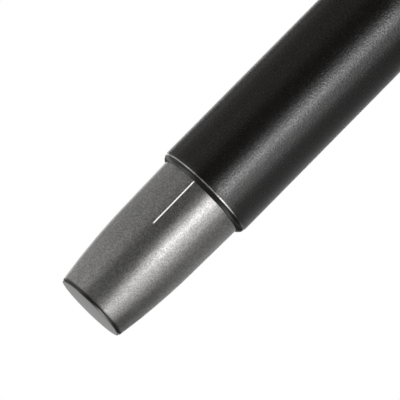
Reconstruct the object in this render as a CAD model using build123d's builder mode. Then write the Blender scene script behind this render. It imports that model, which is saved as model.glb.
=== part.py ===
from build123d import *
import os

# Lens cleaning pen, standing on its brush end with the cap up. Millimetres.
# +Z runs along the pen from the foot ring to the cap, and -Y is the side of the thumb slider.
# The origin is the centre of the foot ring, in the plane that the pen stands on.

# ---------------------------------------------------------------- driving dimensions
barrel_od = 15.0  # aluminium tube, outside
tube_wall = 0.7
mouth_z = 110.0  # mouth of the barrel, where the cap comes out
run_gap = 0.05  # radial clearance of pieces that slide or turn on each other
seat_gap = 0.05  # radial clearance of pieces that are pressed or glued together

nose_height = 5.0  # visible height of the plastic nose
nose_taper = 1.4  # the foot's rim stands this far inside the barrel's outside
nose_step = 0.15  # the nose is this much smaller than the tube where they meet
nose_bulge = 0.2
nose_spigot = 7.0  # length of the nose inside the tube
nose_clearance = 0.7  # radial, round the ferrule
nose_bevel = 0.3
foot_round = 0.2

lip_height = 0.64  # glossy ring that shows beyond the tube's end
lip_step = 0.1  # the ring is this much smaller than the tube where they meet
lip_bulge = 0.18  # at half its height the lip is this much smaller than at the tube
washer_thickness = 0.8  # part of the ring that lies on the neck's shoulder
skirt_depth = 0.5  # the cap's skirt reaches this far below the mouth
skirt_end_gap = 0.1  # end clearance below the skirt
skirt_side_gap = 0.12  # radial clearance round the skirt
bevel = 0.18  # bright diamond-cut edge of the tube at the lip
bevel_slope = 0.33  # its radial share of that length
foot_bevel = 0.1  # plain bevel at the tube's other end
edge_round = 0.6  # length over which the tube rounds down to that edge
rolled_depth = 0.25  # groove rolled into the tube, which holds the guide sleeve down
rolled_width = 1.4

cap_mouth_od = 13.42  # cap, outside, at the barrel's mouth
cap_bend_od = 13.06
cap_bend = 8.5  # the straight taper ends here, above the mouth
cap_end_od = 10.78
cap_end_wall = 0.865
cap_shell_height = 21.42  # end of the shell above the mouth
cap_end_round = 0.18
button_height = 0.24  # end button above the shell's end
button_dome = 0.12
button_round = 0.1  # rounded rim of the end button
button_inset = 0.12  # the button's rim stands this far inside the shell's
button_plug = 3.4  # length of the button's plug in the shell
shadow_gap = 0.12  # fine groove under the button's rim
index_length = 8.0  # pale index line on the cap, up from the mouth
index_width = 0.17
index_depth = 0.15

neck_od = 10.5  # spigot that the cap goes over
neck_height = 6.0  # above the mouth
neck_plug = 16.6  # length of the neck's plug inside the tube
neck_floor = 4.1  # solid stretch between the plug's hollow and the ball socket
neck_wall = 1.5
ring_height = 1.4  # friction ring
ring_proud = 0.1  # it stands this far out of the neck
ring_wall = 0.75
ring_split = 1.2
groove_play = 0.1  # the friction ring's end play in its groove
groove_below_top = 2.6  # upper side of the groove, below the neck's end
liner_wall = 0.45
liner_past_neck = 4.7  # the liner reaches this far beyond the neck
lead_in = 0.2

tip_ball_d = 3.0
tip_stem_d = 1.6
tip_stem_length = 3.5  # from the ball's centre to the head
tip_head_d = 4.4
tip_head_height = 0.8
pivot_depth = 1.6  # the ball's centre below the neck's end
socket_od = 5.9
socket_depth = 6.0
socket_mouth_d = 2.5
cup_foot_d = 5.6
cup_height = 3.3  # from the stem's head to the chamois at its rim
cup_lip = 0.5  # straight rim of the cup
cup_inset = 0.2  # the cup is this much smaller than the chamois
chamois_od = 8.6
chamois_thickness = 0.5
dish_depth = 0.35
tip_clearance = 1.15  # radial, round the tip in the cap
pad_gap = 0.3  # between the chamois and the carbon pad, in the middle
pad_inset = 0.9  # the pad is this much smaller than the chamois
pad_thickness = 2.65
pad_dome_radius = 10.0
pad_seat_depth = 1.4
holder_height = 3.7

brush_travel = 24.0
hair_tip_z = 5.0  # the retracted hair ends this far inside the nose
hair_free = 17.0  # hair beyond the ferrule
hair_rooted = 8.0  # hair inside the ferrule
hair_tip_d = 5.4
root_plug_height = 2.5
ferrule_wall = 0.35
ferrule_seat = 4.0  # length of the ferrule inside the carrier
crimp_below_rim = 3.0
crimp_depth = 0.2
carrier_od = 10.7
carrier_wall = 0.8  # round the ferrule
carrier_length = 23.7
carrier_end_gap = 0.3  # above the nose when the brush is out

sleeve_end_gap = 1.7  # above the carrier when the brush is in
sleeve_end_wall = 2.0
slot_width = 3.0
neck_side_gap = 0.2  # between the slider's neck and the tube's slot
slider_neck_length = 8.0
slider_neck_depth = 1.4  # how deep the slider's neck is seated in the carrier
slider_length = 12.0
slider_width = 5.4
slider_proud = 1.4  # above the barrel
slider_lift = 0.15  # clearance under the slider's pad
rib_count = 5
rib_pitch = 1.5
rib_width = 0.55
rib_depth = 0.35

spring_width = 2.0
spring_thickness = 0.2
spring_length = 10.0
spring_crown = 0.3  # the crown stands this far into the sleeve's groove
groove_depth = 0.4
groove_spare = 3.2  # the groove runs on this far past the crown's travel
groove_side_gap = 0.25
pocket_depth = 1.05
pocket_gap = 0.3

# ---------------------------------------------------------------- radii and stations worked out from them
barrel_r = barrel_od / 2
tube_bore_r = barrel_r - tube_wall
plug_r = tube_bore_r - seat_gap  # anything pressed into the tube
lip_r = barrel_r - lip_step
lip_mouth_r = cap_mouth_od / 2 + skirt_side_gap
spigot_top = nose_height + nose_spigot
tube_top = mouth_z - lip_height
recess_floor = mouth_z - skirt_depth - skirt_end_gap
shoulder_z = recess_floor - washer_thickness
neck_r = neck_od / 2
neck_top = mouth_z + neck_height
ring_r = neck_r + ring_proud
liner_bore_r = ring_r + run_gap
liner_r = liner_bore_r + liner_wall
liner_top = neck_top + liner_past_neck

pivot_z = neck_top - pivot_depth
ball_r = tip_ball_d / 2
tip_head_bottom = pivot_z + tip_stem_length
tip_head_top = tip_head_bottom + tip_head_height
chamois_top = tip_head_top + cup_height
chamois_r = chamois_od / 2
pad_apex = chamois_top - dish_depth + pad_gap
pad_top = pad_apex + pad_thickness
pad_r = chamois_r - pad_inset
pad_zone_r = chamois_r + tip_clearance
holder_bottom = pad_top - pad_seat_depth
holder_top = holder_bottom + holder_height
skirt_z = mouth_z - skirt_depth
shell_top = mouth_z + cap_shell_height
end_bore_r = cap_end_od / 2 - cap_end_wall

ferrule_rim = hair_tip_z + hair_free
carrier_bottom = spigot_top + brush_travel + carrier_end_gap
carrier_top = carrier_bottom + carrier_length
carrier_r = carrier_od / 2
ferrule_r = carrier_r - carrier_wall - seat_gap
ferrule_bore_r = ferrule_r - ferrule_wall
ferrule_top = carrier_bottom + ferrule_seat
hair_root_r = ferrule_bore_r - seat_gap
hair_belly_r = ferrule_r - 2 * run_gap
root_z = ferrule_rim + hair_rooted
nose_bore_r = ferrule_r + nose_clearance
sleeve_bore_r = carrier_r + 2 * run_gap
sleeve_top = carrier_top + sleeve_end_gap + sleeve_end_wall
slider_mid = carrier_top - slider_length / 2
slider_neck_width = slot_width - 2 * neck_side_gap
slot_middle = slider_mid - brush_travel / 2
slot_length = slider_neck_length + brush_travel + 4 * neck_side_gap
spring_mid = ferrule_top + spring_length


def turn(*points, mode=Mode.ADD):
    """Turns the closed half-section through these (radius, height) points about the pen's axis."""
    with BuildSketch(Plane.XZ) as section:
        with BuildLine():
            Polyline(*points, close=True)
        make_face()
    revolve(section.sketch, axis=Axis.Z, mode=mode)


def bore(radius, bottom, top):
    """Cuts a round hole along the pen's axis between two heights."""
    with BuildSketch(Plane.XY.offset(bottom)) as hole:
        Circle(radius)
    extrude(hole.sketch, amount=top - bottom, mode=Mode.SUBTRACT)


def slot_on_slider_side(inner_radius, width, length, middle):
    """Cuts a round-ended slot through the wall on the slider's side, along the pen."""
    with BuildSketch(Plane.XZ.offset(inner_radius)) as slot:
        with Locations((0, middle)):
            SlotOverall(length, width, rotation=90)
    extrude(slot.sketch, amount=barrel_r, mode=Mode.SUBTRACT)


def write(piece, name):
    """Labels a finished piece and writes it as its own STEP file."""
    piece.part.label = name
    export_step(piece.part, f"parts/{name}.step")


os.makedirs("parts", exist_ok=True)

# ================================================================ barrel
# Nose: moulded collar that the pen stands on, with the mouth that the brush comes out of.
with BuildPart() as brush_nose:
    with BuildSketch(Plane.XZ):
        with BuildLine():
            flank = ThreePointArc(
                (barrel_r - nose_taper, 0),
                (barrel_r - (nose_taper + nose_step) / 2 + nose_bulge, nose_height * 0.42),
                (barrel_r - nose_step, nose_height),
            )
            Polyline(
                flank @ 1,
                (plug_r, nose_height),
                (plug_r, spigot_top),
                (nose_bore_r, spigot_top),
                (nose_bore_r, 0),
                flank @ 0,
            )
        make_face()
    revolve(axis=Axis.Z)
    chamfer(brush_nose.edges().group_by(Axis.Z)[0].sort_by(SortBy.RADIUS)[0], nose_bevel)
    fillet(brush_nose.edges().group_by(Axis.Z)[0].sort_by(SortBy.RADIUS)[-1], foot_round)
write(brush_nose, "brush_nose")

# Barrel tube: drawn aluminium, slotted for the slider, with a groove rolled in above the guide sleeve. At the mouth
# it rounds down to a bright cut edge.
rolled_top = sleeve_top + rolled_width
rolled_middle = sleeve_top + rolled_width / 2
with BuildPart() as barrel_tube:
    with BuildSketch(Plane.XZ):
        with BuildLine():
            shoulder = TangentArc(
                (barrel_r, tube_top - bevel - edge_round),
                (lip_r + bevel * bevel_slope, tube_top - bevel),
                tangent=(0, 1),
            )
            rolled_in = ThreePointArc(
                (tube_bore_r, rolled_top),
                (tube_bore_r - rolled_depth, rolled_middle),
                (tube_bore_r, sleeve_top),
            )
            rolled_out = ThreePointArc(
                (barrel_r, sleeve_top),
                (barrel_r - rolled_depth, rolled_middle),
                (barrel_r, rolled_top),
            )
            Polyline(
                shoulder @ 1,
                (lip_r, tube_top),
                (tube_bore_r, tube_top),
                rolled_in @ 0,
            )
            Polyline(
                rolled_in @ 1,
                (tube_bore_r, nose_height),
                (barrel_r - foot_bevel, nose_height),
                (barrel_r, nose_height + foot_bevel),
                rolled_out @ 0,
            )
            Line(rolled_out @ 1, shoulder @ 0)
        make_face()
    revolve(axis=Axis.Z)
    slot_on_slider_side(0, slot_width, slot_length, slot_middle)
write(barrel_tube, "barrel_tube")

# Guide sleeve: plastic runner for the brush carrier, closed at its upper end, with the detent groove.
groove_bottom = spring_mid - brush_travel - groove_spare
groove_top = spring_mid + groove_spare
with BuildPart() as guide_sleeve:
    with BuildSketch(Plane.XY.offset(spigot_top)):
        Circle(plug_r)
    extrude(amount=sleeve_top - spigot_top)
    bore(sleeve_bore_r, spigot_top, sleeve_top - sleeve_end_wall)
    slot_on_slider_side(0, slot_width + 4 * run_gap, slot_length + 4 * run_gap, slot_middle)
    with BuildSketch(Plane.XY.offset(groove_bottom)):
        with Locations((0, sleeve_bore_r + groove_depth)):
            Rectangle(
                spring_width + 2 * groove_side_gap,
                sleeve_bore_r,
                align=(Align.CENTER, Align.MAX),
            )
    extrude(amount=groove_top - groove_bottom, mode=Mode.SUBTRACT)
write(guide_sleeve, "guide_sleeve")

# Neck: moulded plug in the tube, with the spigot for the cap and the seats of the friction ring and ball socket.
ring_groove_top = neck_top - groove_below_top
ring_groove_bottom = ring_groove_top - ring_height - 2 * groove_play
groove_floor_r = ring_r - ring_wall - run_gap
neck_bottom = shoulder_z - neck_plug
with BuildPart() as neck:
    turn(
        (0, neck_bottom),
        (plug_r, neck_bottom),
        (plug_r, shoulder_z),
        (neck_r, shoulder_z),
        (neck_r, ring_groove_bottom),
        (groove_floor_r, ring_groove_bottom),
        (groove_floor_r, ring_groove_top),
        (neck_r, ring_groove_top),
        (neck_r, neck_top - lead_in),
        (neck_r - lead_in, neck_top),
        (0, neck_top),
    )
    bore(plug_r - neck_wall, neck_bottom, neck_top - socket_depth - neck_floor)
    bore(socket_od / 2 + seat_gap, neck_top - socket_depth, neck_top)
write(neck, "neck")

# Mouth ring: glossy black ring whose washer lies on the neck's shoulder and whose lip closes the tube's end.
with BuildPart() as mouth_ring:
    with BuildSketch(Plane.XZ):
        with BuildLine():
            lip = ThreePointArc(
                (lip_r, tube_top),
                (lip_r - lip_bulge, mouth_z - lip_height / 2),
                (lip_mouth_r, mouth_z),
            )
            Polyline(
                lip @ 1,
                (lip_mouth_r, recess_floor),
                (neck_r + seat_gap, recess_floor),
                (neck_r + seat_gap, shoulder_z),
                (plug_r, shoulder_z),
                (plug_r, tube_top),
                lip @ 0,
            )
        make_face()
    revolve(axis=Axis.Z)
write(mouth_ring, "mouth_ring")

# Ball socket: bush pressed into the neck that holds the tip's ball.
with BuildPart() as tip_socket:
    with BuildSketch(Plane.XY.offset(neck_top - socket_depth)):
        Circle(socket_od / 2)
    extrude(amount=socket_depth)
    with Locations((0, 0, pivot_z)):
        Sphere(ball_r + run_gap, mode=Mode.SUBTRACT)
    bore(socket_mouth_d / 2, pivot_z, neck_top)
write(tip_socket, "tip_socket")

# ================================================================ cleaning tip
# Stem: moulded ball, pin and head in one.
with BuildPart() as tip_stem:
    with Locations((0, 0, pivot_z)):
        Sphere(ball_r)
    with BuildSketch(Plane.XY.offset(pivot_z)):
        Circle(tip_stem_d / 2)
    extrude(amount=tip_head_bottom - pivot_z)
    with BuildSketch(Plane.XY.offset(tip_head_bottom)):
        Circle(tip_head_d / 2)
    extrude(amount=tip_head_height)
write(tip_stem, "tip_stem")


def dish(rim_radius, rim_height):
    """The shallow hollow of the cleaning face, as an arc from the pen's axis out to a rim."""
    sag = dish_depth * (rim_radius / chamois_r) ** 2
    return ThreePointArc(
        (0, rim_height - sag),
        (rim_radius / 2, rim_height - sag * 0.75),
        (rim_radius, rim_height),
    )


# Cup: soft rubber disc snapped over the stem's head.
cup_r = chamois_r - cup_inset
cup_rim = chamois_top - chamois_thickness - dish_depth * (1 - (cup_r / chamois_r) ** 2)
cup_bottom = tip_head_bottom - 0.3
cup_hole_r = tip_stem_d / 2 + 2 * seat_gap
with BuildPart() as tip_cup:
    with BuildSketch(Plane.XZ):
        with BuildLine():
            face = dish(cup_r, cup_rim)
            flank = ThreePointArc(
                (cup_r, cup_rim - cup_lip),
                ((2 * cup_r + cup_foot_d / 2) / 3, cup_rim - cup_height * 0.45),
                (cup_foot_d / 2, cup_bottom),
            )
            Polyline(face @ 1, flank @ 0)
            Polyline(
                flank @ 1,
                (cup_hole_r, cup_bottom),
                (cup_hole_r, tip_head_bottom),
                (tip_head_d / 2, tip_head_bottom),
                (tip_head_d / 2, tip_head_top),
                (0, tip_head_top),
                face @ 0,
            )
        make_face()
    revolve(axis=Axis.Z)
write(tip_cup, "tip_cup")

# Chamois: the carbon-charged cleaning face glued into the cup's hollow.
with BuildPart() as tip_chamois:
    with BuildSketch(Plane.XZ):
        with BuildLine():
            under = dish(chamois_r, chamois_top - chamois_thickness)
            over = dish(chamois_r, chamois_top)
            Line(under @ 1, over @ 1)
            Line(over @ 0, under @ 0)
        make_face()
    revolve(axis=Axis.Z)
write(tip_chamois, "tip_chamois")

# ================================================================ friction ring
# Split ring that sits in the neck's groove, grips the cap's liner and turns round the neck with the cap.
with BuildPart() as cap_friction_ring:
    with BuildSketch(Plane.XY.offset(ring_groove_bottom + groove_play)):
        Circle(ring_r)
        Circle(ring_r - ring_wall, mode=Mode.SUBTRACT)
        with Locations((0, ring_r)):
            Rectangle(ring_split, ring_r, mode=Mode.SUBTRACT)
    extrude(amount=ring_height)
write(cap_friction_ring, "cap_friction_ring")

# ================================================================ cap


def cap_outline(inset):
    """Turns the cap's outside, shrunk by inset: a straight taper that bends in towards the end."""
    with BuildSketch(Plane.XZ) as section:
        with BuildLine():
            taper = Line(
                (cap_mouth_od / 2 - inset, mouth_z),
                (cap_bend_od / 2 - inset, mouth_z + cap_bend),
            )
            bend = TangentArc(
                taper @ 1, (cap_end_od / 2 - inset, shell_top), tangent=taper % 1
            )
            Polyline(
                bend @ 1,
                (0, shell_top),
                (0, skirt_z),
                (cap_mouth_od / 2 - inset, skirt_z),
                taper @ 0,
            )
        make_face()
    return section.sketch


def index_slot(width, bottom):
    """A narrow upright strip on the slider's side, from a height up to the index line's end."""
    with BuildSketch(Plane.XZ.offset(liner_r)) as strip:
        with Locations((0, (bottom + mouth_z + index_length) / 2)):
            Rectangle(width, mouth_z + index_length - bottom)
    return strip.sketch


def bore_cap():
    """Bores the shell in three steps: for the liner, for the tip and the pad, and for the end button."""
    bore(liner_r + seat_gap, skirt_z, liner_top + seat_gap)
    bore(pad_zone_r, skirt_z, holder_top)
    bore(end_bore_r, skirt_z, shell_top)


# Shell: turned and anodised, with a fine groove for the index line, which is cut through and then closed
# from inside by a slightly smaller shell.
with BuildPart() as cap_shell:
    revolve(cap_outline(0), axis=Axis.Z)
    fillet(cap_shell.edges().group_by(Axis.Z)[-1], cap_end_round)
    bore_cap()
    extrude(index_slot(index_width, mouth_z), amount=barrel_r, mode=Mode.SUBTRACT)
    revolve(cap_outline(index_depth), axis=Axis.Z)
    bore_cap()
write(cap_shell, "cap_shell")

# Index line: pale enamel in a fine groove, flush with the shell.
with BuildPart() as index_inlay:
    revolve(cap_outline(0), axis=Axis.Z)
    revolve(cap_outline(index_depth), axis=Axis.Z, mode=Mode.SUBTRACT)
    extrude(index_slot(index_width, mouth_z), amount=barrel_r, mode=Mode.INTERSECT)
write(index_inlay, "index_inlay")

# Liner: plastic sleeve glued into the shell, which the friction ring grips.
liner_bottom = skirt_z + skirt_end_gap
with BuildPart() as cap_liner:
    turn(
        (liner_bore_r + lead_in, liner_bottom),
        (liner_r, liner_bottom),
        (liner_r, liner_top),
        (liner_bore_r, liner_top),
        (liner_bore_r, liner_bottom + lead_in),
    )
write(cap_liner, "cap_liner")

# Pad holder: moulded cup at the end of the cap, against the step of the end bore.
with BuildPart() as carbon_pad_holder:
    with BuildSketch(Plane.XY.offset(holder_bottom)):
        Circle(pad_zone_r - seat_gap)
    extrude(amount=holder_height)
    bore(pad_r + 2 * seat_gap, holder_bottom, pad_top)
    chamfer(carbon_pad_holder.edges().group_by(Axis.Z)[0].sort_by(SortBy.RADIUS)[-1], lead_in)
write(carbon_pad_holder, "carbon_pad_holder")

# Carbon pad: domed foam that recharges the tip when the cap is turned on it.
pad_edge = pad_apex + pad_dome_radius - (pad_dome_radius**2 - pad_r**2) ** 0.5
with BuildPart() as carbon_pad:
    with BuildSketch(Plane.XZ):
        with BuildLine():
            dome = RadiusArc((0, pad_apex), (pad_r, pad_edge), -pad_dome_radius)
            Polyline(dome @ 1, (pad_r, pad_top), (0, pad_top), dome @ 0)
        make_face()
    revolve(axis=Axis.Z)
write(carbon_pad, "carbon_pad")

# End button: turned plug pressed into the shell's end, with a slightly domed face and a fine groove under its rim.
button_r = cap_end_od / 2 - button_inset
button_rim = shell_top + button_height
plug_bottom = shell_top - button_plug
with BuildPart() as cap_end_button:
    with BuildSketch(Plane.XZ):
        with BuildLine():
            dome = ThreePointArc(
                (0, button_rim + button_dome),
                ((button_r - button_round) / 2, button_rim + button_dome * 0.75),
                (button_r - button_round, button_rim),
            )
            rim = TangentArc(
                dome @ 1, (button_r, button_rim - button_round), tangent=(1, 0)
            )
            Polyline(
                rim @ 1,
                (button_r, shell_top + shadow_gap),
                (button_r - 2 * shadow_gap, shell_top + shadow_gap),
                (button_r - 2 * shadow_gap, shell_top),
                (end_bore_r - seat_gap, shell_top),
                (end_bore_r - seat_gap, plug_bottom),
                (0, plug_bottom),
                dome @ 0,
            )
        make_face()
    revolve(axis=Axis.Z)
write(cap_end_button, "cap_end_button")

# ================================================================ brush
# Hair: a soft round tuft that bellies out of the ferrule and closes to a rounded end.
with BuildPart() as brush_tuft:
    with BuildSketch(Plane.XZ):
        with BuildLine():
            side = Spline(
                (hair_root_r, ferrule_rim),
                (hair_belly_r, ferrule_rim - hair_free * 0.5),
                (hair_tip_d / 2, hair_tip_z + 1.6),
                (0, hair_tip_z),
                tangents=((0, -1), (-1, 0)),
            )
            Polyline(side @ 1, (0, root_z), (hair_root_r, root_z), side @ 0)
        make_face()
    revolve(axis=Axis.Z)
write(brush_tuft, "brush_tuft")

# Root plug: the cast resin disc that binds the hair inside the ferrule.
with BuildPart() as hair_root_plug:
    with BuildSketch(Plane.XY.offset(root_z)):
        Circle(hair_root_r)
    extrude(amount=root_plug_height)
write(hair_root_plug, "hair_root_plug")

# Ferrule: drawn metal cup that holds the hair, crimped once round below its rim.
crimp_z = ferrule_rim + crimp_below_rim
with BuildPart() as brush_ferrule:
    turn(
        (0, ferrule_top - ferrule_wall),
        (ferrule_bore_r, ferrule_top - ferrule_wall),
        (ferrule_bore_r, ferrule_rim),
        (ferrule_r, ferrule_rim),
        (ferrule_r, crimp_z - 3 * crimp_depth),
        (ferrule_r - crimp_depth, crimp_z - crimp_depth),
        (ferrule_r - crimp_depth, crimp_z + crimp_depth),
        (ferrule_r, crimp_z + 3 * crimp_depth),
        (ferrule_r, ferrule_top),
        (0, ferrule_top),
    )
write(brush_ferrule, "brush_ferrule")

# Carrier: plastic shuttle in the guide sleeve, with the ferrule's seat, the slider's socket and the spring's pocket.
with BuildPart() as brush_carrier:
    with BuildSketch(Plane.XY.offset(carrier_bottom)):
        Circle(carrier_r)
    extrude(amount=carrier_length)
    bore(ferrule_r + seat_gap, carrier_bottom, ferrule_top)
    with BuildSketch(Plane.XZ.offset(carrier_r - slider_neck_depth)):
        with Locations((0, slider_mid)):
            SlotOverall(
                slider_neck_length + 2 * seat_gap,
                slider_neck_width + 2 * seat_gap,
                rotation=90,
            )
    extrude(amount=carrier_r, mode=Mode.SUBTRACT)
    with BuildSketch(Plane.XZ.offset(pocket_depth - carrier_r)):
        with Locations((0, spring_mid)):
            Rectangle(spring_width + 2 * pocket_gap, spring_length + 2 * pocket_gap)
    extrude(amount=-carrier_r, mode=Mode.SUBTRACT)
    chamfer(brush_carrier.edges().filter_by(GeomType.CIRCLE).sort_by(Axis.Z)[-1], 2 * lead_in)
write(brush_carrier, "brush_carrier")

# Detent spring: arched steel leaf in the carrier's pocket, which rides in the sleeve's groove.
spring_seat_y = carrier_r - pocket_depth
spring_crown_y = sleeve_bore_r + spring_crown
with BuildPart() as detent_spring:
    with BuildSketch(Plane.YZ.offset(-spring_width / 2)):
        with BuildLine():
            inner = ThreePointArc(
                (spring_seat_y, spring_mid - spring_length / 2),
                (spring_crown_y - spring_thickness, spring_mid),
                (spring_seat_y, spring_mid + spring_length / 2),
            )
            outer = ThreePointArc(
                (spring_seat_y + spring_thickness, spring_mid - spring_length / 2),
                (spring_crown_y, spring_mid),
                (spring_seat_y + spring_thickness, spring_mid + spring_length / 2),
            )
            Line(inner @ 0, outer @ 0)
            Line(inner @ 1, outer @ 1)
        make_face()
    extrude(amount=spring_width)
write(detent_spring, "detent_spring")

# Thumb slider: ribbed pad that follows the barrel, on a neck that passes through both slots into the carrier.
with BuildPart() as thumb_slider:
    with BuildSketch(Plane.XZ):
        with Locations((0, slider_mid)):
            SlotOverall(slider_length, slider_width, rotation=90)
    extrude(amount=barrel_od)
    with BuildSketch(Plane.XY.offset(slider_mid - slider_length)):
        Circle(barrel_r + slider_proud)
        Circle(barrel_r + slider_lift, mode=Mode.SUBTRACT)
    extrude(amount=2 * slider_length, mode=Mode.INTERSECT)
    with BuildSketch(Plane.XZ.offset(barrel_r + slider_proud - rib_depth)):
        with Locations((0, slider_mid)):
            with GridLocations(0, rib_pitch, 1, rib_count):
                Rectangle(2 * slider_width, rib_width)
    extrude(amount=barrel_r, mode=Mode.SUBTRACT)
    neck_root = carrier_r - slider_neck_depth
    with BuildSketch(Plane.XZ.offset(neck_root)):
        with Locations((0, slider_mid)):
            SlotOverall(slider_neck_length, slider_neck_width, rotation=90)
    extrude(amount=barrel_r + slider_proud / 2 - neck_root)
write(thumb_slider, "thumb_slider")
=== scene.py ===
import math
import random

import bmesh
import bpy
from mathutils import Matrix, Vector, noise


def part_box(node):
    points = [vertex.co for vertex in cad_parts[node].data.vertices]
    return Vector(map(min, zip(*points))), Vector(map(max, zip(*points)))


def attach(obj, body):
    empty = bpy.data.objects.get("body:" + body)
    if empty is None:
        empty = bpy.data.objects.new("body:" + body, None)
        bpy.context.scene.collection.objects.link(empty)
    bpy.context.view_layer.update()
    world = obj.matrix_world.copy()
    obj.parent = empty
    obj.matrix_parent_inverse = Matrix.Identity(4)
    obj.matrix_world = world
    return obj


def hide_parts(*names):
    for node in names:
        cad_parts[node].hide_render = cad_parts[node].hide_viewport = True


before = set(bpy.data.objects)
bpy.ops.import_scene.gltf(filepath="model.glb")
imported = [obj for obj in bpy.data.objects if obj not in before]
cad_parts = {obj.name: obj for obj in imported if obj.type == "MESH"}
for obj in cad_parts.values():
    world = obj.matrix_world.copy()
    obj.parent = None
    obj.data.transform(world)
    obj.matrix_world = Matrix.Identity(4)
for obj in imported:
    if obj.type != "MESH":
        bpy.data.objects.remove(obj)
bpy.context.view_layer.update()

# Lens cleaning pen, standing on its brush end with the cap up. Metres. -Y is the side of the thumb slider.
scene = bpy.context.scene
scene.view_settings.view_transform = "Standard"
mm = 0.001


# ---------------------------------------------------------------- camera
# A long lens a metre away, a little above level, looks at the mouth of the barrel. It is rolled so that the
# cap points to the lower left and the barrel runs out to the upper right.
camera_azimuth = math.radians(-18.1)
camera_elevation = math.radians(7.6)
camera_roll = math.radians(45.35)  # from the pen's own direction to the picture's horizontal
camera_distance = 1.0
picture_width = 54.68 * mm  # at the pen
aim_above_mouth, aim_across = 0.42 * mm, 0.27 * mm
mouth_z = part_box("mouth_ring")[1].z
tube_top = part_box("barrel_tube")[1].z

towards_camera = Vector((
    math.sin(camera_azimuth) * math.cos(camera_elevation),
    -math.cos(camera_azimuth) * math.cos(camera_elevation),
    math.sin(camera_elevation),
))
up_the_pen = Vector((0, 0, 1))
down_the_pen = (towards_camera * up_the_pen.dot(towards_camera) - up_the_pen).normalized()
across_the_pen = Vector((-math.cos(camera_azimuth), -math.sin(camera_azimuth), 0))
picture_right = math.cos(camera_roll) * down_the_pen + math.sin(camera_roll) * across_the_pen
picture_up = math.sin(camera_roll) * down_the_pen - math.cos(camera_roll) * across_the_pen
aim = up_the_pen * (mouth_z + aim_above_mouth) + across_the_pen * aim_across

lens = bpy.data.cameras.new("camera")
lens.sensor_width = 36
lens.lens = lens.sensor_width * camera_distance / picture_width
lens.clip_start = 0.05
lens.clip_end = 20
camera = bpy.data.objects.new("camera", lens)
scene.collection.objects.link(camera)
turned_to_pen = Matrix((picture_right, picture_up, towards_camera)).transposed().to_4x4()
camera.matrix_world = Matrix.Translation(aim + towards_camera * camera_distance) @ turned_to_pen
scene.camera = camera


# ---------------------------------------------------------------- studio
# Soft boxes stand in rings round the pen, in a white cove. Each has its angle from the camera's side of the
# pen, positive towards the lit flank, and none of them shows to the camera.
def soft_box(name, angle, distance, low, high, width, radiance, in_gloss=True):
    """Stands an upright soft box that faces the pen's axis, between two heights."""
    box = bpy.data.lights.new(name, "AREA")
    box.shape = "RECTANGLE"
    box.size, box.size_y = width, high - low
    box.energy = radiance * math.pi * box.size * box.size_y
    lamp = bpy.data.objects.new(name, box)
    scene.collection.objects.link(lamp)
    turned = camera_azimuth - math.radians(angle)
    outwards = Vector((math.sin(turned), -math.cos(turned), 0))
    place = Matrix.Translation(outwards * distance + up_the_pen * (low + high) / 2)
    lamp.matrix_world = place @ outwards.to_track_quat("Z", "Y").to_matrix().to_4x4()
    lamp.visible_camera = False
    lamp.visible_glossy = in_gloss


# The low ring shows in the barrel's gloss and the high ring in the cap's, whose taper looks upwards. The
# collar ring shows in the bright cut edge, and the crown in the round of the lip. A row is angle: radiance.
ring_distance = 0.40
narrow_box, wide_box = 0.105, 0.14  # the narrow ones stand near the camera, where the gloss is sharpest
low_ring = {
    15: 2.0, 28: 7.5, 41: 0.8, 54: 1.75, 70: 0.3, 90: 0.3, 110: 0.3, 130: 0.4, 150: 0.5, 173: 1.6,
    -50: 0.2, -70: 0.2, -95: 0.2, -120: 0.35, -150: 0.4, -167: 1.5,
}
high_ring = {
    28: 0.7, 41: 2.2, 54: 0.95, 70: 0.75, 135: 0.2, 178: 0.8,
    -50: 0.45, -70: 0.65, -95: 0.45, -120: 0.55, -150: 0.8,
}
collar_ring = {5: 0.5, -20: 0.45}
for ring, low, high in ((low_ring, 0.0, 0.11), (high_ring, 0.11, 0.40), (collar_ring, 0.26, 0.46)):
    for angle, radiance in ring.items():
        box_width = narrow_box if abs(angle) < 60 else wide_box
        soft_box("ring_box", angle, ring_distance, low, high, box_width, radiance)
for angle in (-105, 105):
    soft_box("crown_box", angle, distance=0.30, low=0.42, high=0.85, width=0.45, radiance=1.3)

# Two washes light the cap's grain and stay out of the gloss.
for angle, radiance in ((-130, 17.5), (-85, 12.0)):
    soft_box("wash_box", angle, 0.60, low=0.10, high=0.60, width=0.30, radiance=radiance, in_gloss=False)

overhead = bpy.data.lights.new("overhead", "AREA")
overhead.size = 1.2
overhead_radiance = 2.6
overhead.energy = overhead_radiance * math.pi * overhead.size**2
overhead_lamp = bpy.data.objects.new("overhead", overhead)
scene.collection.objects.link(overhead_lamp)
overhead_lamp.location = (0, 0, 1.0)
overhead_lamp.visible_camera = False
overhead_lamp.visible_glossy = False  # it lights the floor and stays out of the gloss on the pen


def colour(hex_value):
    """Turns an sRGB hex value into the linear colour that a shader takes."""
    parts = [int(hex_value[i:i + 2], 16) / 255 for i in (1, 3, 5)]
    return (*[p / 12.92 if p <= 0.04045 else ((p + 0.055) / 1.055) ** 2.4 for p in parts], 1.0)


def add(tree, kind, inputs=(), give=None, **settings):
    """Adds a shader node with its settings and inputs, and gives the output asked for, or its first."""
    node = tree.nodes.new("ShaderNode" + kind)
    for setting, value in settings.items():
        setattr(node, setting, value)
    for name, value in dict(inputs).items():
        socket = next(s for s in node.inputs if s.name == name and s.enabled)
        if isinstance(value, bpy.types.NodeSocket):
            tree.links.new(value, socket)
        else:
            socket.default_value = value
    outputs = [s for s in node.outputs if s.enabled]
    return next((s for s in outputs if s.name == give), outputs[0] if outputs else None)


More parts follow.
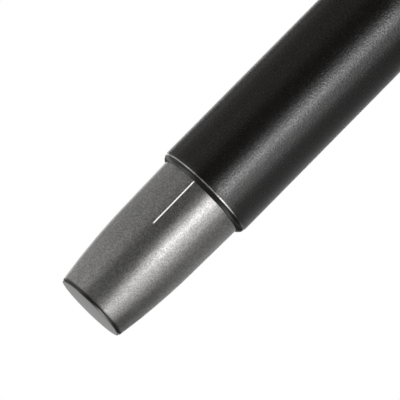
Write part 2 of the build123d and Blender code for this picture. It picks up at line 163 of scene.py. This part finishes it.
# The cove is white where the camera sees it, and dim in the gloss on the pen, between the soft boxes.
cove = bpy.data.worlds.new("white_cove")
cove.use_nodes = True
cove.node_tree.nodes.clear()
cove_shade = add(cove.node_tree, "Mix", {
    "Factor": add(cove.node_tree, "LightPath", give="Is Camera Ray"),
    "A": colour("#303030"),
    "B": colour("#ffffff"),
}, data_type="RGBA")
cove_light = add(cove.node_tree, "Background", {"Color": cove_shade})
add(cove.node_tree, "OutputWorld", {"Surface": cove_light})
scene.world = cove


# ---------------------------------------------------------------- floor
# Pale matt sheet that the pen stands on. It fades out into the white cove, so that no edge or horizon
# shows.
floor_r = 0.9
fade_start, fade_end = 0.10, 0.55


def new_finish(name):
    """Starts an empty node material, and gives it with its tree and its Object coordinates."""
    made = bpy.data.materials.new(name)
    made.use_nodes = True
    made.node_tree.nodes.clear()
    return made, made.node_tree, add(made.node_tree, "TexCoord", give="Object")


def shown(name, shape, finish, smooth=True):
    """Turns a finished bmesh into an object in the scene with its finish."""
    mesh = bpy.data.meshes.new(name)
    shape.to_mesh(mesh)
    shape.free()
    if smooth:
        mesh.shade_smooth()
    else:
        mesh.shade_flat()
    mesh.materials.append(finish)
    piece = bpy.data.objects.new(name, mesh)
    scene.collection.objects.link(piece)
    return piece


matt_sheet, tree, where = new_finish("matt_paper_floor")
paper = add(tree, "BsdfPrincipled", {
    "Base Color": colour("#f4f3f1"), "Roughness": 0.8, "Specular IOR Level": 0.2,
})
from_pen = add(tree, "VectorMath", {"Vector": where}, give="Value", operation="LENGTH")
fade = add(tree, "MapRange", {
    "Value": from_pen, "From Min": fade_start, "From Max": fade_end, "To Min": 0.0, "To Max": 1.0,
}, interpolation_type="SMOOTHSTEP")
clear = add(tree, "BsdfTransparent")
faded = add(tree, "MixShader", {"Fac": fade})
tree.links.new(paper, faded.node.inputs[1])
tree.links.new(clear, faded.node.inputs[2])
add(tree, "OutputMaterial", {"Surface": faded})
sheet = bmesh.new()
bmesh.ops.create_circle(sheet, cap_ends=True, radius=floor_r, segments=96)
floor = shown("floor", sheet, matt_sheet)
floor.visible_glossy = False  # the pen's gloss shows only the soft boxes and the cove


# ---------------------------------------------------------------- brush nose
# Collar moulded in black ABS, pressed into the tube. The tool is spark-eroded, which leaves a fine even
# grain.
spark_grain = 0.16 * mm
gloss_patch = 4 * mm  # how far apart the gloss of moulded plastic varies


def dress(finish, *nodes):
    """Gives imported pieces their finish."""
    for node in nodes:
        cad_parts[node].material_slots[0].material = finish


def grained_plastic(name, shade, grain, depth, roughness, flow=(1, 1, 1)):
    """Moulded plastic with a fine grain, and gloss that varies a little along its flow."""
    made, tree, where = new_finish(name)
    turned = add(tree, "Mapping", {"Vector": where, "Scale": flow})
    fine = add(tree, "TexNoise", {"Vector": turned, "Scale": 1 / grain, "Detail": 2.0, "Roughness": 0.6})
    patches = add(tree, "TexNoise", {"Vector": turned, "Scale": 1 / gloss_patch, "Detail": 3.0})
    gloss = add(tree, "MapRange", {
        "Value": patches, "From Min": 0.3, "From Max": 0.7,
        "To Min": roughness - 0.05, "To Max": roughness + 0.05,
    })
    tone = add(tree, "Mix", {
        "Factor": fine, "A": colour(shade[0]), "B": colour(shade[1]),
    }, data_type="RGBA")
    relief = add(tree, "Bump", {"Strength": 1.0, "Distance": depth, "Height": fine})
    skin = add(tree, "BsdfPrincipled", {
        "Base Color": tone, "Roughness": gloss, "IOR": 1.54, "Normal": relief,
    })
    add(tree, "OutputMaterial", {"Surface": skin})
    return made


spark_eroded_abs = grained_plastic(
    "spark_eroded_black_abs", ("#0c0c0c", "#121212"), spark_grain, depth=0.012 * mm, roughness=0.42
)
dress(spark_eroded_abs, "brush_nose")


# ---------------------------------------------------------------- barrel tube
# Drawn aluminium, blasted with fine beads, anodised and dyed black, and then cut bright on the edge at its
# mouth. The oxide is harder and clearer than paint, so that the black has a soft, deep shine with a sparkle.
blast_grain = 0.28 * mm  # coarser than the real pits, so that the sparkle shows
blast_depth = 0.030 * mm
handled_patch = 9 * mm  # handling varies the shine this far apart
bright_cut = 0.18 * mm  # height of the cut edge, where bare metal shows

blasted_black, tree, where = new_finish("blasted_black_anodised_aluminium")
height = add(tree, "SeparateXYZ", {"Vector": where}, give="Z")
cut = add(tree, "Math", {"Value": height}, operation="GREATER_THAN")
cut.node.inputs[1].default_value = tube_top - bright_cut
beads = add(tree, "TexNoise", {"Vector": where, "Scale": 1 / blast_grain, "Detail": 3.0, "Roughness": 0.6})
wear = add(tree, "TexNoise", {"Vector": where, "Scale": 1 / handled_patch, "Detail": 4.0})
dyed = add(tree, "Mix", {
    "Factor": beads, "A": colour("#080605"), "B": colour("#0e0b0a"),
}, data_type="RGBA")
shade = add(tree, "Mix", {"Factor": cut, "A": dyed, "B": colour("#d0cecc")}, data_type="RGBA")
worn = add(tree, "MapRange", {
    "Value": wear, "From Min": 0.3, "From Max": 0.7, "To Min": -0.02, "To Max": 0.02,
})
satin = add(tree, "MapRange", {
    "Value": beads, "From Min": 0.3, "From Max": 0.7, "To Min": 0.235, "To Max": 0.335,
})
satin = add(tree, "Math", {"Value": satin}, operation="ADD")
tree.links.new(worn, satin.node.inputs[1])
gloss = add(tree, "Mix", {"Factor": cut, "A": satin, "B": 0.22}, data_type="FLOAT")
relief = add(tree, "Bump", {"Strength": 1.0, "Distance": blast_depth, "Height": beads})
oxide = add(tree, "BsdfPrincipled", {
    "Base Color": shade, "Metallic": cut, "Roughness": gloss, "IOR": 1.7, "Normal": relief,
})
add(tree, "OutputMaterial", {"Surface": oxide})
dress(blasted_black, "barrel_tube")


# ---------------------------------------------------------------- guide sleeve
# Runner moulded in grey acetal, pressed into the tube for the brush carrier to slide in. Acetal flows along
# the mould and comes out waxy and smooth.
acetal_grain = 0.30 * mm
waxy_acetal = grained_plastic(
    "waxy_grey_acetal", ("#5c5c5e", "#666668"), acetal_grain, depth=0.004 * mm, roughness=0.36,
    flow=(1, 1, 0.15),
)
dress(waxy_acetal, "guide_sleeve")


# ---------------------------------------------------------------- neck
# Plug moulded in black polyester, with the spigot that the cap goes over. Years of caps leave it a little
# polished along the pen.
neck_grain = 0.20 * mm
rubbed_pbt = grained_plastic(
    "rubbed_black_pbt", ("#121212", "#1a1a1a"), neck_grain, depth=0.006 * mm, roughness=0.34,
    flow=(1, 1, 0.3),
)
dress(rubbed_pbt, "neck")


# ---------------------------------------------------------------- mouth ring
# Lip ring moulded in a polished tool, in glossy black ABS, so that only a faint waviness breaks the
# reflections.
lip_wave = 1.6 * mm
polished_abs = grained_plastic(
    "polished_black_abs", ("#0d0d0d", "#131313"), lip_wave, depth=0.004 * mm, roughness=0.30
)
dress(polished_abs, "mouth_ring")


# ---------------------------------------------------------------- tip socket and stem
# The socket is an acetal bush pressed into the neck. It holds the ball of the stem, which is moulded in black
# polyester in one with its pin and head, so that the tip can tilt.
dress(waxy_acetal, "tip_socket")
dress(rubbed_pbt, "tip_stem")


# ---------------------------------------------------------------- tip cup
# Soft cup moulded in black silicone rubber. It has no shine, and carbon dust from the pad settles in its
# grain.
rubber_grain = 0.12 * mm
rubber_relief = 0.006 * mm
dust_patch = 1.1 * mm

soft_silicone, tree, where = new_finish("matt_black_silicone")
grain = add(tree, "TexNoise", {"Vector": where, "Scale": 1 / rubber_grain, "Detail": 2.0})
dust = add(tree, "TexNoise", {"Vector": where, "Scale": 1 / dust_patch, "Detail": 5.0, "Roughness": 0.7})
dusted = add(tree, "MapRange", {
    "Value": dust, "From Min": 0.45, "From Max": 0.75, "To Min": 0.0, "To Max": 0.6,
})
shade = add(tree, "Mix", {"Factor": dusted, "A": colour("#191919"), "B": colour("#2b2a29")}, data_type="RGBA")
relief = add(tree, "Bump", {"Strength": 1.0, "Distance": rubber_relief, "Height": grain})
skin = add(tree, "BsdfPrincipled", {
    "Base Color": shade, "Roughness": 0.62, "IOR": 1.43, "Sheen Weight": 0.15, "Normal": relief,
})
add(tree, "OutputMaterial", {"Surface": skin})
dress(soft_silicone, "tip_cup")


# ---------------------------------------------------------------- chamois face
# Disc of chamois leather glued into the cup's hollow, dished to fit a lens and charged with carbon. The
# leather's edge is cut round, and its face is raised into a short nap.
face_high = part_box("tip_chamois")[1]
face_r = face_high.x
face_dish = 0.35 * mm
face_thickness = 0.5 * mm
face_edge = 0.12 * mm  # rounding of the cut edge
nap_tuft = 0.15 * mm  # size of the tufts that the nap gathers in
nap_relief = 0.05 * mm
smudge_size = 1.8 * mm  # patches where more carbon has gathered
face_wave = 0.45 * mm  # unevenness of the raised face
nap_root = 0.06 * mm  # depth of a hair's root under the face
nap_length = 0.22 * mm
nap_width = 0.035 * mm
nap_hairs = 3600
rim_wear = 0.75

suede, tree, where = new_finish("carbon_charged_chamois")
fluff = add(tree, "TexNoise", {"Vector": where, "Scale": 1 / nap_tuft, "Detail": 4.0, "Roughness": 0.7})
smudge = add(tree, "TexNoise", {"Vector": where, "Scale": 1 / smudge_size, "Detail": 3.0})
blackened = add(tree, "MapRange", {
    "Value": smudge, "From Min": 0.35, "From Max": 0.65, "To Min": 0.0, "To Max": 0.5,
})
pile = add(tree, "Mix", {"Factor": fluff, "A": colour("#1d1c1c"), "B": colour("#3a3836")}, data_type="RGBA")
shade = add(tree, "Mix", {"Factor": blackened, "A": pile, "B": colour("#131313")}, data_type="RGBA")
relief = add(tree, "Bump", {"Strength": 1.0, "Distance": nap_relief, "Height": fluff})
skin = add(tree, "BsdfPrincipled", {
    "Base Color": shade, "Roughness": 0.95, "Sheen Weight": 0.12, "Sheen Roughness": 0.5,
    "Specular IOR Level": 0.2, "Normal": relief,
})
add(tree, "OutputMaterial", {"Surface": skin})


def spun(outline, steps=96):
    """Spins an outline of (radius, height) points round the pen's axis into a closed shape."""
    shape = bmesh.new()
    points = [shape.verts.new((radius, 0, z)) for radius, z in outline]
    edges = [shape.edges.new(pair) for pair in zip(points, points[1:])]
    bmesh.ops.spin(
        shape, geom=points + edges, cent=(0, 0, 0), axis=(0, 0, 1), angle=math.tau, steps=steps,
        use_merge=True,
    )
    bmesh.ops.remove_doubles(shape, verts=shape.verts, dist=0.0005 * mm)  # closes the two poles
    bmesh.ops.recalc_face_normals(shape, faces=shape.faces)
    return shape


def dished(radius):
    """How far the leather's face lies below its rim, at a radius."""
    return face_dish * (1 - (radius / face_r) ** 2)


def rounded_rim(radius, low, high, rounding, steps=4):
    """Points up a rim whose two corners are rounded, from below to above."""
    turns = [math.pi / 2 * i / steps for i in range(steps + 1)]
    lower = [(radius - rounding * (1 - math.sin(a)), low + rounding * (1 - math.cos(a))) for a in turns]
    upper = [(radius - rounding * (1 - math.cos(a)), high - rounding * (1 - math.sin(a))) for a in turns]
    return lower + upper


stations = [face_r * 0.97 * i / 16 for i in range(17)]
leather = spun(
    [(r, face_high.z - face_thickness - dished(r)) for r in stations]
    + rounded_rim(face_r, face_high.z - face_thickness, face_high.z, face_edge)
    + [(r, face_high.z - dished(r)) for r in reversed(stations)],
    steps=128,
)
for point in leather.verts:
    if point.co.z > face_high.z - face_thickness / 2 - dished(point.co.xy.length):
        point.co.z -= nap_relief * (0.5 + 0.5 * noise.noise(point.co / face_wave))
chamois_face = shown("chamois_face", leather, suede)
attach(chamois_face, "tip")
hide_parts("tip_chamois")

# The nap: short hairs that lean every way over the face. They are worn shortest towards the rim, which rubs
# on the carbon pad when the tip tilts.
draw = random.Random(7)
nap = bmesh.new()
for _ in range(nap_hairs):
    r = face_r * 0.985 * math.sqrt(draw.random())
    a = draw.uniform(0, math.tau)
    root = Vector((r * math.cos(a), r * math.sin(a), face_high.z - dished(r) - nap_root))
    lean = Vector((draw.gauss(0, 0.5), draw.gauss(0, 0.5), 1)).normalized()
    aside = lean.orthogonal().normalized() * nap_width / 2
    foot = [nap.verts.new(root + Matrix.Rotation(math.tau * k / 3, 3, lean) @ aside) for k in range(3)]
    worn = 1 - rim_wear * (r / face_r) ** 2
    end = nap.verts.new(root + lean * nap_length * worn * draw.uniform(0.5, 1.0))
    for k in range(3):
        nap.faces.new((foot[k], foot[(k + 1) % 3], end))
    nap.faces.new((foot[2], foot[1], foot[0]))
chamois_nap = shown("chamois_nap", nap, suede, smooth=False)
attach(chamois_nap, "tip")


# ---------------------------------------------------------------- friction ring
# Split ring moulded in grey acetal and sprung into the neck's groove. It grips the liner, so that the cap
# turns with it and slides off it.
dress(waxy_acetal, "cap_friction_ring")


# ---------------------------------------------------------------- cap shell
# Turned aluminium, blasted, and then anodised in anthracite. Every pit of the blasting turns the light its
# own way, which makes the bright, fine speckle; the tint is in the oxide.
cap_grain = 0.15 * mm
cap_depth = 0.015 * mm
dye_cloud = 5 * mm
flake = 0.14 * mm  # facets that catch the light, coarser than the real ones so that they show
shell_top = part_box("cap_shell")[1].z
painted_shade_start, painted_shade_full = 0.40 * mm, 0.16 * mm  # below the shell's end; painted shade darkens the colour towards the seam round the button

anthracite, tree, where = new_finish("blasted_anthracite_aluminium")
pits = add(tree, "TexNoise", {"Vector": where, "Scale": 1 / cap_grain, "Detail": 3.0, "Roughness": 0.65})
facets = add(tree, "TexVoronoi", {"Vector": where, "Scale": 1 / flake}, give="Color")
glint = add(tree, "SeparateColor", {"Color": facets}, give="Red")
clouds = add(tree, "TexNoise", {"Vector": where, "Scale": 1 / dye_cloud, "Detail": 3.0})
tint = add(tree, "Mix", {
    "Factor": glint, "A": colour("#7c7b7a"), "B": colour("#a9a8a7"),
}, data_type="RGBA")
height = add(tree, "SeparateXYZ", {"Vector": where}, give="Z")
# Painted shade: the colour darkens towards the shell's end, where the seam round the button lies in shade.
painted_seam_shade = add(tree, "MapRange", {
    "Value": height, "From Min": shell_top - painted_shade_start, "From Max": shell_top - painted_shade_full,
    "To Min": 0.0, "To Max": 1.0,
}, interpolation_type="SMOOTHSTEP")
tint = add(tree, "Mix", {"Factor": painted_seam_shade, "A": tint, "B": colour("#474646")}, data_type="RGBA")
satin = add(tree, "MapRange", {
    "Value": clouds, "From Min": 0.3, "From Max": 0.7, "To Min": 0.28, "To Max": 0.32,
})
relief = add(tree, "Bump", {"Strength": 1.0, "Distance": cap_depth, "Height": pits})
oxide = add(tree, "BsdfPrincipled", {
    "Base Color": tint, "Metallic": 0.88, "Roughness": satin, "Normal": relief,
})
add(tree, "OutputMaterial", {"Surface": oxide})
dress(anthracite, "cap_shell")


# ---------------------------------------------------------------- index line
# Pale enamel wiped into a fine groove in the shell and baked. It is a little uneven along its length, as
# wiped paint is.
wiped_streak = 0.35 * mm

enamel, tree, where = new_finish("wiped_pale_enamel")
streak = add(tree, "TexNoise", {"Vector": where, "Scale": 1 / wiped_streak, "Detail": 3.0})
tint = add(tree, "Mix", {"Factor": streak, "A": colour("#c9c8c4"), "B": colour("#f0efec")}, data_type="RGBA")
paint = add(tree, "BsdfPrincipled", {"Base Color": tint, "Roughness": 0.38, "IOR": 1.5})
add(tree, "OutputMaterial", {"Surface": paint})
dress(enamel, "index_inlay")


# ---------------------------------------------------------------- cap liner and pad holder
# Both are acetal: the sleeve that the friction ring grips, and the cup at the cap's end that holds the carbon
# pad.
dress(waxy_acetal, "cap_liner", "carbon_pad_holder")


# ---------------------------------------------------------------- carbon pad
# Fine open-celled foam with a domed face, soaked with carbon, which recharges the chamois when the cap is
# turned.
pad_low, pad_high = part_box("carbon_pad")
pad_r = pad_high.x
dome_r = 10 * mm
pad_edge = 0.15 * mm  # rounding of the pad's edges
cell = 0.28 * mm  # size of the foam's cells
cell_depth = 0.08 * mm
torn = 0.05 * mm  # how far the cut cells stand unevenly out of the face
glued_layer = 0.2 * mm  # the flat back, which stays as it was cut

sooty_foam, tree, where = new_finish("carbon_soaked_foam")
cells = add(tree, "TexVoronoi", {"Vector": where, "Scale": 1 / cell})
soot = add(tree, "MapRange", {"Value": cells, "From Min": 0.1, "From Max": 0.6, "To Min": 0.0, "To Max": 1.0})
shade = add(tree, "Mix", {"Factor": soot, "A": colour("#050505"), "B": colour("#1c1c1c")}, data_type="RGBA")
relief = add(tree, "Bump", {"Strength": 1.0, "Distance": cell_depth, "Height": soot})
skin = add(tree, "BsdfPrincipled", {
    "Base Color": shade, "Roughness": 0.9, "Specular IOR Level": 0.3, "Normal": relief,
})
add(tree, "OutputMaterial", {"Surface": skin})


def domed(radius):
    """Height of the pad's face at a radius, above the middle of its dome."""
    return dome_r - math.sqrt(dome_r**2 - radius**2)


stations = [pad_r * 0.95 * i / 14 for i in range(15)]
foam = spun(
    [(r, pad_low.z + domed(r)) for r in stations]
    + rounded_rim(pad_r, pad_low.z + domed(pad_r), pad_high.z, pad_edge)
    + [(r, pad_high.z) for r in reversed(stations)],
    steps=96,
)
for point in foam.verts:
    if point.co.z < pad_high.z - glued_layer:
        point.co.z += torn * (0.5 + 0.5 * noise.noise(point.co / (0.5 * cell)))
foam_pad = shown("foam_pad", foam, sooty_foam)
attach(foam_pad, "cap")
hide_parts("carbon_pad")


# ---------------------------------------------------------------- end button
# Turned aluminium plug in the same anthracite, but brushed smooth before it was anodised, so it is paler and
# even.
lathe_line = 0.12 * mm
lathe_depth = 0.001 * mm

smooth_anthracite, tree, where = new_finish("turned_anthracite_aluminium")
flattened = add(tree, "Mapping", {"Vector": where, "Scale": (1, 1, 0)})
off_axis = add(tree, "VectorMath", {"Vector": flattened}, give="Value", operation="LENGTH")
lines = add(tree, "TexNoise", {"W": off_axis, "Scale": 1 / lathe_line, "Detail": 2.0}, noise_dimensions="1D")
tint = add(tree, "Mix", {"Factor": lines, "A": colour("#7d7c7b"), "B": colour("#8a8988")}, data_type="RGBA")
relief = add(tree, "Bump", {"Strength": 1.0, "Distance": lathe_depth, "Height": lines})
oxide = add(tree, "BsdfPrincipled", {
    "Base Color": tint, "Metallic": 1.0, "Roughness": 0.36, "Normal": relief,
})
add(tree, "OutputMaterial", {"Surface": oxide})
dress(smooth_anthracite, "cap_end_button")


# ---------------------------------------------------------------- hair
# Tuft of soft dark goat hair. The hairs stand packed in the ferrule, belly out, close towards the end, and
# are thinnest at their tips, which are the hair's own and never cut.
tuft_low, tuft_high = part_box("brush_tuft")
ferrule_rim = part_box("brush_ferrule")[0].z
hair_tip_z = tuft_low.z
belly_z = ferrule_rim - (ferrule_rim - hair_tip_z) * 0.45
belly_r = tuft_high.x - 0.05 * mm  # leaves room for the hair's own width
root_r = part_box("hair_root_plug")[1].x - 0.1 * mm
tip_r = 2.6 * mm
hair_width = 0.085 * mm
strand_width = 0.12 * mm  # hairs that differ in colour
hair_count = 1900
hair_steps = 7

goat_hair, tree, where = new_finish("dark_goat_hair")
along = add(tree, "Mapping", {"Vector": where, "Scale": (1, 1, 0.05)})
strands = add(tree, "TexNoise", {"Vector": along, "Scale": 1 / strand_width, "Detail": 2.0})
tint = add(tree, "Mix", {"Factor": strands, "A": colour("#1a1310"), "B": colour("#4a3a30")}, data_type="RGBA")
skin = add(tree, "BsdfPrincipled", {
    "Base Color": tint, "Roughness": 0.42, "IOR": 1.55, "Sheen Weight": 0.2,
})
add(tree, "OutputMaterial", {"Surface": skin})


def tuft_radius(z):
    """Radius of the tuft at a height: packed at the rim, widest below it, and rounded at the end."""
    if z > belly_z:
        share = (z - belly_z) / (ferrule_rim - belly_z)
        return belly_r + (root_r - belly_r) * min(share, 1) ** 2
    share = (belly_z - z) / (belly_z - hair_tip_z)
    return belly_r + (tip_r - belly_r) * share**2


def add_hair(shape, points, width):
    """Adds one hair: a three-sided strand along its points that tapers to a tip."""
    last = None
    for i, point in enumerate(points[:-1]):
        half = width / 2 * (1 - 0.6 * (i / (len(points) - 1)) ** 2)
        ring = [
            shape.verts.new(point + Vector((half * math.cos(a), half * math.sin(a), 0)))
            for a in (0.3, 0.3 + math.tau / 3, 0.3 + math.tau * 2 / 3)
        ]
        if last:
            for k in range(3):
                shape.faces.new((last[k], ring[k], ring[(k + 1) % 3], last[(k + 1) % 3]))
        last = ring
    end = shape.verts.new(points[-1])
    for k in range(3):
        shape.faces.new((last[k], end, last[(k + 1) % 3]))


draw = random.Random(11)
tuft = bmesh.new()
root_z = ferrule_rim + 1.0 * mm
for _ in range(hair_count):
    share = draw.random() ** 0.32  # more hairs near the outside, where they show
    angle = draw.uniform(0, math.tau)
    end_z = hair_tip_z + draw.random() ** 2 * 1.2 * mm + 1.6 * mm * share**4  # the outer hairs end sooner
    wander = draw.uniform(-0.06, 0.06)
    points = []
    for i in range(hair_steps + 1):
        z = root_z + (end_z - root_z) * i / hair_steps
        r = tuft_radius(z) * share
        turn = angle + wander * (i / hair_steps) ** 2
        points.append(Vector((r * math.cos(turn), r * math.sin(turn), z)))
    add_hair(tuft, points, hair_width * draw.uniform(0.8, 1.15))
brush_hair = shown("brush_hair", tuft, goat_hair)
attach(brush_hair, "brush")
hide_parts("brush_tuft")

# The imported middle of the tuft, where single hairs can't be told apart.
middle_levels = [root_z + (hair_tip_z + 1.4 * mm - root_z) * i / 12 for i in range(13)]
middle = spun(
    [(0, middle_levels[0])]
    + [(tuft_radius(z) * 0.86, z) for z in middle_levels]
    + [(0, middle_levels[-1] - 0.5 * mm)],
    steps=48,
)
packed_hair = shown("packed_hair", middle, goat_hair)
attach(packed_hair, "brush")


# ---------------------------------------------------------------- root plug
# Clear amber resin cast over the hair's roots inside the ferrule, which binds the tuft and holds it there. It
# sets glossy, and a little cloudy where it wets the hair.
resin_cloud = 1.2 * mm

cast_resin, tree, where = new_finish("cast_amber_resin")
cloudy = add(tree, "TexNoise", {"Vector": where, "Scale": 1 / resin_cloud, "Detail": 3.0})
tint = add(tree, "Mix", {"Factor": cloudy, "A": colour("#4a3320"), "B": colour("#6b4c2d")}, data_type="RGBA")
skin = add(tree, "BsdfPrincipled", {"Base Color": tint, "Roughness": 0.18, "IOR": 1.56})
add(tree, "OutputMaterial", {"Surface": skin})
dress(cast_resin, "hair_root_plug")


# ---------------------------------------------------------------- ferrule
# Drawn brass cup with bright nickel plate, crimped round the hair and fixed on the carrier. Drawing leaves
# fine lines along it under the plate.
draw_line = 0.10 * mm
draw_depth = 0.001 * mm

nickel, tree, where = new_finish("nickel_plated_brass")
along = add(tree, "Mapping", {"Vector": where, "Scale": (1, 1, 0.02)})
lines = add(tree, "TexNoise", {"Vector": along, "Scale": 1 / draw_line, "Detail": 2.0})
gloss = add(tree, "MapRange", {
    "Value": lines, "From Min": 0.3, "From Max": 0.7, "To Min": 0.14, "To Max": 0.24,
})
relief = add(tree, "Bump", {"Strength": 1.0, "Distance": draw_depth, "Height": lines})
plate = add(tree, "BsdfPrincipled", {
    "Base Color": colour("#d3cdc4"), "Metallic": 1.0, "Roughness": gloss, "Normal": relief,
})
add(tree, "OutputMaterial", {"Surface": plate})
dress(nickel, "brush_ferrule")


# ---------------------------------------------------------------- carrier
# Shuttle moulded in grey acetal, which runs without grease. It carries the ferrule, and slides in the guide
# sleeve.
dress(waxy_acetal, "brush_carrier")


# ---------------------------------------------------------------- detent spring
# Leaf of rolled spring steel, fixed on the carrier to catch in the sleeve's groove. It is ground along its
# length and tempered to a faint straw colour.
ground_line = 0.08 * mm

straw_steel, tree, where = new_finish("tempered_spring_steel")
along = add(tree, "Mapping", {"Vector": where, "Scale": (1, 1, 0.03)})
lines = add(tree, "TexNoise", {"Vector": along, "Scale": 1 / ground_line, "Detail": 2.0})
tint = add(tree, "Mix", {"Factor": lines, "A": colour("#9c958a"), "B": colour("#bcb5a6")}, data_type="RGBA")
steel = add(tree, "BsdfPrincipled", {"Base Color": tint, "Metallic": 1.0, "Roughness": 0.28})
add(tree, "OutputMaterial", {"Surface": steel})
dress(straw_steel, "detent_spring")


# ---------------------------------------------------------------- thumb slider
# Ribbed pad moulded in black ABS with the same spark-eroded grain as the nose, a little coarser for the
# thumb.
thumb_grain = 0.22 * mm
thumb_abs = grained_plastic(
    "grained_black_abs", ("#0e0e0e", "#161616"), thumb_grain, depth=0.016 * mm, roughness=0.46
)
dress(thumb_abs, "thumb_slider")
